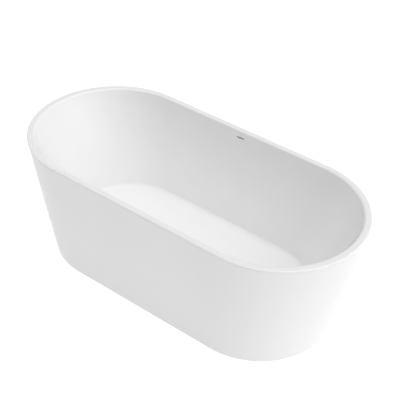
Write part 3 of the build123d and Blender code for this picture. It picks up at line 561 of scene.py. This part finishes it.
# --------------------------------------------------------------- materials
class Nodes:
    """Short hand for one material's node tree."""

    def __init__(self, name):
        self.mat = bpy.data.materials.new(name)
        self.mat.use_nodes = True
        self.t = self.mat.node_tree
        self.bsdf = next(n for n in self.t.nodes if n.type == "BSDF_PRINCIPLED")
        self.obj = self.t.nodes.new("ShaderNodeTexCoord").outputs["Object"]

    def put(self, socket, value):
        if hasattr(value, "is_output"):
            self.t.links.new(value, socket)
        elif isinstance(value, (tuple, list)) and len(value) == 3 and socket.type == "RGBA":
            socket.default_value = (*value, 1.0)
        else:
            socket.default_value = value

    def mapping(self, scale=(1, 1, 1), rot=(0, 0, 0), vec=None):
        n = self.t.nodes.new("ShaderNodeMapping")
        n.inputs["Scale"].default_value = scale
        n.inputs["Rotation"].default_value = rot
        self.t.links.new(vec or self.obj, n.inputs["Vector"])
        return n.outputs["Vector"]

    def noise(self, scale, detail=3.0, rough=0.5, vec=None, distort=0.0):
        n = self.t.nodes.new("ShaderNodeTexNoise")
        n.inputs["Scale"].default_value = scale
        n.inputs["Detail"].default_value = detail
        n.inputs["Roughness"].default_value = rough
        n.inputs["Distortion"].default_value = distort
        self.t.links.new(vec or self.obj, n.inputs["Vector"])
        return n.outputs["Fac"]

    def voronoi(self, scale, feature="F1", vec=None, out="Distance", rand=1.0):
        n = self.t.nodes.new("ShaderNodeTexVoronoi")
        n.feature = feature
        n.inputs["Scale"].default_value = scale
        n.inputs["Randomness"].default_value = rand
        self.t.links.new(vec or self.obj, n.inputs["Vector"])
        return n.outputs[out]

    def wave(self, scale, distort=0.0, detail=2.0, vec=None, direction="X", dscale=1.0):
        n = self.t.nodes.new("ShaderNodeTexWave")
        n.bands_direction = direction
        n.inputs["Scale"].default_value = scale
        n.inputs["Distortion"].default_value = distort
        n.inputs["Detail"].default_value = detail
        n.inputs["Detail Scale"].default_value = dscale
        self.t.links.new(vec or self.obj, n.inputs["Vector"])
        return n.outputs["Fac"]

    def ramp(self, fac, stops):
        n = self.t.nodes.new("ShaderNodeValToRGB")
        e = n.color_ramp.elements
        while len(e) > 1:
            e.remove(e[-1])
        e[0].position = stops[0][0]
        e[0].color = (*stops[0][1], 1.0)
        for pos, col in stops[1:]:
            x = e.new(pos)
            x.color = (*col, 1.0)
        self.t.links.new(fac, n.inputs["Fac"])
        return n.outputs["Color"]

    def span(self, fac, lo, hi, a=0.0, b=1.0):
        n = self.t.nodes.new("ShaderNodeMapRange")
        n.inputs["From Min"].default_value = a
        n.inputs["From Max"].default_value = b
        n.inputs["To Min"].default_value = lo
        n.inputs["To Max"].default_value = hi
        self.t.links.new(fac, n.inputs["Value"])
        return n.outputs["Result"]

    def math(self, op, a, b=0.0):
        n = self.t.nodes.new("ShaderNodeMath")
        n.operation = op
        self.put(n.inputs[0], a)
        self.put(n.inputs[1], b)
        return n.outputs["Value"]

    def mix(self, fac, a, b):
        n = self.t.nodes.new("ShaderNodeMix")
        n.data_type = "RGBA"
        self.put(n.inputs[0], fac)
        self.put(n.inputs[6], a)
        self.put(n.inputs[7], b)
        return n.outputs[2]

    def bump(self, height, dist, strength=1.0, chain=None):
        n = self.t.nodes.new("ShaderNodeBump")
        n.inputs["Strength"].default_value = strength
        n.inputs["Distance"].default_value = dist
        self.t.links.new(height, n.inputs["Height"])
        if chain is not None:
            self.t.links.new(chain, n.inputs["Normal"])
        return n.outputs["Normal"]

    def split(self, vec):
        n = self.t.nodes.new("ShaderNodeSeparateXYZ")
        self.t.links.new(vec, n.inputs[0])
        return n.outputs["X"], n.outputs["Y"], n.outputs["Z"]

    def normal(self):
        return self.t.nodes.new("ShaderNodeNewGeometry").outputs["Normal"]

    def done(self, color=None, rough=None, normal=None, **fixed):
        if color is not None:
            self.put(self.bsdf.inputs["Base Color"], color)
        if rough is not None:
            self.put(self.bsdf.inputs["Roughness"], rough)
        if normal is not None:
            self.put(self.bsdf.inputs["Normal"], normal)
        for key, value in fixed.items():
            self.bsdf.inputs[key.replace("_", " ")].default_value = value
        return self.mat


ACRYLIC_A = (0.800, 0.801, 0.800)
ACRYLIC_B = (0.786, 0.788, 0.788)


def acrylic(name, shift, gloss, level):
    """Cast sanitary acrylic: gloss with a soft orange peel, faint mould waviness and polishing hairlines, plus
    painted shade that greys the flat of the rim.
    """
    m = Nodes(name)
    big = m.noise(2.4 + shift, 2.0, 0.45)
    cloud = m.noise(11.0 + shift, 4.0, 0.55)
    tone = m.math("ADD", m.math("MULTIPLY", big, 0.65), m.math("MULTIPLY", cloud, 0.35))
    color = m.ramp(tone, [(0.36, ACRYLIC_B), (0.64, ACRYLIC_A)])
    # painted shade: the flat of the rim (facing up, near the top) is painted a slightly greyer white than the basin,
    # standing in for the duller light it catches
    rim_shade_mask = m.math("MULTIPLY", m.span(m.split(m.obj)[2], 0.0, 1.0, 0.590, 0.598), m.span(m.split(m.normal())[2], 0.0, 1.0, 0.55, 0.95))
    # painted shade colour: the acrylic tone at 0.94 of its brightness, mixed in on the rim's flat
    painted_rim_shade = m.ramp(tone, [(0.36, tuple(0.94 * c for c in ACRYLIC_B)), (0.64, tuple(0.94 * c for c in ACRYLIC_A))])
    color = m.mix(rim_shade_mask, color, painted_rim_shade)
    hair = m.noise(1.0, 5.0, 0.6, vec=m.mapping((9.0, 14.0, 420.0), (0.0, 0.0, 0.3 + shift)))
    film = m.noise(17.0, 5.0, 0.6)
    rough = m.math("ADD", m.span(film, gloss[0], gloss[1], 0.3, 0.7), m.span(hair, -0.012, 0.026, 0.35, 0.7))
    peel = m.noise(150.0, 2.0, 0.4)
    wavy = m.noise(7.5, 1.0, 0.3)
    n1 = m.bump(wavy, 0.0016, 0.35)
    n2 = m.bump(peel, 0.00012, 0.30, n1)
    n3 = m.bump(hair, 0.00002, 0.25, n2)
    return m.done(color, rough, n3, IOR=1.49, Specular_IOR_Level=level)


def fibreglass(name, tint):
    """Sprayed chopped strand laminate: short crossing fibres in resin, wet lumps and rolled ridges."""
    m = Nodes(name)
    warp = m.noise(9.0, 2.0)
    layers = []
    for k, rot in enumerate((0.2, 1.05, 1.9, 2.7)):
        v = m.mapping((34.0 + 7 * k, 420.0, 420.0), (0.4 * k, 0.3 * k, rot))
        layers.append(m.math("GREATER_THAN", m.noise(1.0, 1.0, 0.4, vec=v, distort=0.4), 0.585))
    strands = layers[0]
    for x in layers[1:]:
        strands = m.math("MAXIMUM", strands, x)
    resin = m.ramp(m.noise(26.0, 4.0), [(0.3, tint[0]), (0.7, tint[1])])
    color = m.mix(m.math("MULTIPLY", strands, 0.75), resin, tint[2])
    rough = m.span(m.noise(60.0, 3.0), 0.28, 0.62, 0.3, 0.7)
    lumps = m.bump(m.noise(38.0, 3.0, 0.55), 0.0018, 0.8)
    n = m.bump(strands, 0.0004, 0.6, lumps)
    n = m.bump(warp, 0.002, 0.3, n)
    return m.done(color, rough, n, IOR=1.53)


def bond():
    m = Nodes("bond_paste")
    color = m.ramp(m.noise(80.0, 4.0), [(0.3, (0.70, 0.70, 0.66)), (0.7, (0.82, 0.82, 0.79))])
    n = m.bump(m.noise(140.0, 4.0, 0.6), 0.0008, 0.8)
    return m.done(color, m.span(m.noise(50.0), 0.45, 0.65), n)


def plywood():
    """Birch faces along X, with the plies showing on the cut edge."""
    m = Nodes("plywood")
    face_vec = m.mapping((1.6, 22.0, 22.0))
    grain = m.wave(1.5, 7.0, 4.0, vec=face_vec, direction="Y", dscale=1.4)
    fine = m.noise(1.0, 6.0, 0.65, vec=m.mapping((8.0, 260.0, 260.0)))
    mixv = m.math("ADD", m.math("MULTIPLY", grain, 0.5), m.math("MULTIPLY", fine, 0.5))
    face = m.ramp(mixv, [(0.25, (0.44, 0.29, 0.155)), (0.5, (0.60, 0.43, 0.255)), (0.8, (0.70, 0.54, 0.35))])
    x, y, z = m.split(m.obj)
    ply = m.math("FRACT", m.math("MULTIPLY", m.math("ADD", z, m.math("MULTIPLY", m.noise(30.0), 0.0004)), 1 / 0.00356), 0.0)
    band = m.math("GREATER_THAN", ply, 0.5)
    edge_n = m.noise(1.0, 5.0, 0.6, vec=m.mapping((120.0, 120.0, 900.0)))
    light = m.ramp(edge_n, [(0.3, (0.56, 0.40, 0.23)), (0.7, (0.68, 0.52, 0.33))])
    dark = m.ramp(edge_n, [(0.3, (0.27, 0.16, 0.08)), (0.7, (0.42, 0.27, 0.14))])
    edge = m.mix(band, light, dark)
    nx, ny, nz = m.split(m.normal())
    up_face = m.math("GREATER_THAN", m.math("ABSOLUTE", nz), 0.5)
    color = m.mix(up_face, edge, face)
    n = m.bump(mixv, 0.0004, 0.5)
    return m.done(color, m.span(fine, 0.5, 0.75), n)


def softwood():
    """Bent strip of pine, its grain running round the tub."""
    m = Nodes("softwood")
    grain = m.noise(1.0, 6.0, 0.6, vec=m.mapping((10.0, 10.0, 190.0)), distort=0.6)
    ringy = m.wave(16.0, 2.6, 3.0, vec=m.mapping((0.4, 0.4, 1.0)), direction="Z", dscale=2.0)
    mixv = m.math("ADD", m.math("MULTIPLY", grain, 0.6), m.math("MULTIPLY", ringy, 0.4))
    color = m.ramp(mixv, [(0.25, (0.50, 0.32, 0.15)), (0.5, (0.68, 0.49, 0.27)), (0.8, (0.80, 0.64, 0.41))])
    knots = m.voronoi(7.0, vec=m.mapping((1.0, 1.0, 3.2)))
    color = m.mix(m.span(knots, 1.0, 0.0, 0.035, 0.10), color, (0.27, 0.14, 0.06))
    n = m.bump(mixv, 0.0005, 0.5)
    return m.done(color, m.span(grain, 0.55, 0.75), n)


def frame_steel():
    """Grey powder coat: a fine even texture, chalkier where it was handled."""
    m = Nodes("frame_steel")
    tone = m.noise(13.0, 4.0)
    color = m.ramp(tone, [(0.3, (0.305, 0.315, 0.325)), (0.7, (0.40, 0.41, 0.42))])
    scuff = m.math("GREATER_THAN", m.noise(1.0, 4.0, 0.6, vec=m.mapping((60.0, 60.0, 900.0), (0.3, 0.2, 0.5))), 0.70)
    color = m.mix(m.math("MULTIPLY", scuff, 0.45), color, (0.55, 0.555, 0.56))
    n = m.bump(m.noise(900.0, 2.0, 0.5), 0.00008, 0.8)
    n = m.bump(m.noise(120.0, 2.0), 0.0001, 0.4, n)
    return m.done(color, m.span(m.noise(40.0), 0.40, 0.58, 0.3, 0.7), n, IOR=1.5)


def plastic(name, dark, light, rough, grain=700.0, depth=0.00006):
    """Moulded plastic with a fine spark-eroded grain and slight flow marks."""
    m = Nodes(name)
    flow = m.noise(1.0, 3.0, 0.5, vec=m.mapping((18.0, 18.0, 60.0), (0.2, 0.3, 0.1)))
    color = m.ramp(flow, [(0.3, dark), (0.7, light)])
    n = m.bump(m.noise(grain, 2.0, 0.5), depth, 0.8)
    return m.done(color, m.span(m.noise(90.0, 3.0), rough[0], rough[1], 0.3, 0.7), n, IOR=1.5)


def rubber():
    m = Nodes("black_rubber")
    dust = m.noise(70.0, 5.0, 0.6)
    color = m.ramp(dust, [(0.35, (0.022, 0.022, 0.023)), (0.75, (0.060, 0.059, 0.057))])
    n = m.bump(m.noise(500.0, 3.0), 0.0001, 0.7)
    return m.done(color, m.span(dust, 0.62, 0.88, 0.3, 0.7), n)


def metal(name, a, b, rough, brush=None, depth=0.00002):
    """Bare or plated metal: smudges in the gloss and, if asked, a brushed direction."""
    m = Nodes(name)
    smudge = m.noise(55.0, 4.0, 0.6)
    color = m.ramp(smudge, [(0.3, a), (0.7, b)])
    r = m.span(m.noise(120.0, 4.0), rough[0], rough[1], 0.3, 0.7)
    fine = m.noise(1.0, 4.0, 0.6, vec=m.mapping(brush or (500.0, 500.0, 500.0)))
    n = m.bump(fine, depth, 0.6)
    return m.done(color, r, n, Metallic=1.0)


def zinc(name):
    """Bright zinc plating with its faint blue and straw passivation."""
    m = Nodes(name)
    tint = m.noise(38.0, 3.0)
    color = m.ramp(tint, [(0.30, (0.56, 0.58, 0.62)), (0.5, (0.64, 0.64, 0.63)), (0.72, (0.66, 0.63, 0.54))])
    n = m.bump(m.noise(400.0, 3.0), 0.00003, 0.7)
    return m.done(color, m.span(m.noise(90.0, 3.0), 0.24, 0.42, 0.3, 0.7), n, Metallic=1.0)


MATS = {
    "basin_acrylic": acrylic("basin_acrylic", 0.0, (0.085, 0.150), 0.25),
    "skirt_acrylic": acrylic("skirt_acrylic", 0.35, (0.30, 0.38), 0.20),
    "fibreglass": fibreglass("fibreglass", ((0.60, 0.58, 0.47), (0.72, 0.71, 0.61), (0.82, 0.82, 0.76))),
    "bond_paste": bond(),
    "plywood": plywood(),
    "softwood": softwood(),
    "frame_steel": frame_steel(),
    "black_plastic": plastic("black_plastic", (0.028, 0.028, 0.030), (0.048, 0.048, 0.050), (0.38, 0.55)),
    "zinc_steel": zinc("zinc_steel"),
    "stainless_steel": metal("stainless_steel", (0.60, 0.60, 0.60), (0.70, 0.70, 0.695), (0.20, 0.34), (60.0, 60.0, 1400.0)),
    "black_rubber": rubber(),
    "chrome": metal("chrome", (0.78, 0.79, 0.80), (0.84, 0.845, 0.85), (0.035, 0.085)),
    "brass": metal("brass", (0.66, 0.47, 0.19), (0.76, 0.58, 0.28), (0.22, 0.36), (300.0, 300.0, 1500.0)),
    "waste_plastic": plastic("waste_plastic", (0.76, 0.76, 0.745), (0.84, 0.84, 0.83), (0.30, 0.45), 420.0),
    "hose_plastic": plastic("hose_plastic", (0.50, 0.51, 0.52), (0.60, 0.61, 0.62), (0.35, 0.50), 500.0),
}


def paint(ob, slot_name):
    ob.data.materials.clear()
    ob.data.materials.append(MATS[slot_name])


# ------------------------------------------------------------ object pieces
record = frame["record"]
slot_of = {p["node"]: p["material_slot"] for p in record["subparts"]}
body_of = {n: body for body, members in record["behaviour"]["bodies"].items() for n in members}


def stand_in(ob, *names):
    """ob shows instead of these nodes and moves with them."""
    paint(ob, slot_of[names[0]])
    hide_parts(*names)
    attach(ob, body_of[names[0]])
    return ob


for name, ob in nodes.items():
    ob.data.materials.clear()
    ob.data.materials.append(MATS[slot_of[name]])

basin = stand_in(build_basin(), "inner_shell")
skirt = stand_in(build_skirt(), "outer_skirt")
hose = stand_in(build_hose(), "overflow_hose")
for i, (x, y) in enumerate(((-460.0, -225.0), (460.0, -225.0), (460.0, 225.0), (-460.0, 225.0)), 1):
    stand_in(build_stem(i, x, y), f"foot_{i}_stem")

# ------------------------------------------------------------- floor, light
floor_me = bpy.data.meshes.new("floor")
F = 14.0
floor_me.from_pydata([(-F, -F, 0), (F, -F, 0), (F, F, 0), (-F, F, 0)], [], [(0, 1, 2, 3)])
floor = bpy.data.objects.new("floor", floor_me)
bpy.context.scene.collection.objects.link(floor)
fm = Nodes("floor_white")
fm.done((0.30, 0.30, 0.30), 1.0, Specular_IOR_Level=0.0)
fm.bsdf.inputs["Emission Color"].default_value = (1, 1, 1, 1)
fm.bsdf.inputs["Emission Strength"].default_value = 0.803
floor_me.materials.append(fm.mat)

# soft surroundings: an even base plus broad lobes of light from fixed directions
def toward(azimuth, elevation):
    a, e = math.radians(azimuth), math.radians(elevation)
    return (math.cos(a) * math.cos(e), math.sin(a) * math.cos(e), math.sin(e))


LOBES = [
    (toward(0, 8), 9.0, 1.034),
    (toward(45, 8), 9.0, 0.206),
    (toward(90, 8), 9.0, 1.097),
    (toward(180, 8), 9.0, 0.502),
    (toward(22, 32), 9.0, 1.360),
    (toward(67, 32), 9.0, 0.313),
    (toward(202, 32), 9.0, 0.753),
    (toward(337, 32), 9.0, 0.549),
    (toward(0, 60), 9.0, 1.831),
    (toward(180, 60), 9.0, 0.945),
    (toward(270, 60), 9.0, 1.426),
    (toward(0, 90), 9.0, 0.354),
]
BASE = 0.0


def build_world(base, lobes):
    world = bpy.data.worlds.new("studio")
    bpy.context.scene.world = world
    world.use_nodes = True
    t = world.node_tree
    bg = next(n for n in t.nodes if n.type == "BACKGROUND")
    gen = t.nodes.new("ShaderNodeTexCoord").outputs["Generated"]
    total = None
    for axis, power, amount in lobes:
        a = Vector(axis).normalized()
        dot = t.nodes.new("ShaderNodeVectorMath")
        dot.operation = "DOT_PRODUCT"
        t.links.new(gen, dot.inputs[0])
        dot.inputs[1].default_value = a
        mx = t.nodes.new("ShaderNodeMath")
        mx.operation = "MAXIMUM"
        t.links.new(dot.outputs["Value"], mx.inputs[0])
        mx.inputs[1].default_value = 0.0
        pw = t.nodes.new("ShaderNodeMath")
        pw.operation = "POWER"
        t.links.new(mx.outputs[0], pw.inputs[0])
        pw.inputs[1].default_value = power
        ml = t.nodes.new("ShaderNodeMath")
        ml.operation = "MULTIPLY_ADD"
        t.links.new(pw.outputs[0], ml.inputs[0])
        ml.inputs[1].default_value = amount
        if total is None:
            ml.inputs[2].default_value = base
        else:
            t.links.new(total, ml.inputs[2])
        total = ml.outputs[0]
    bg.inputs["Color"].default_value = (1, 1, 1, 1)
    if total is not None:
        t.links.new(total, bg.inputs["Strength"])
    else:
        bg.inputs["Strength"].default_value = base


build_world(BASE, LOBES)
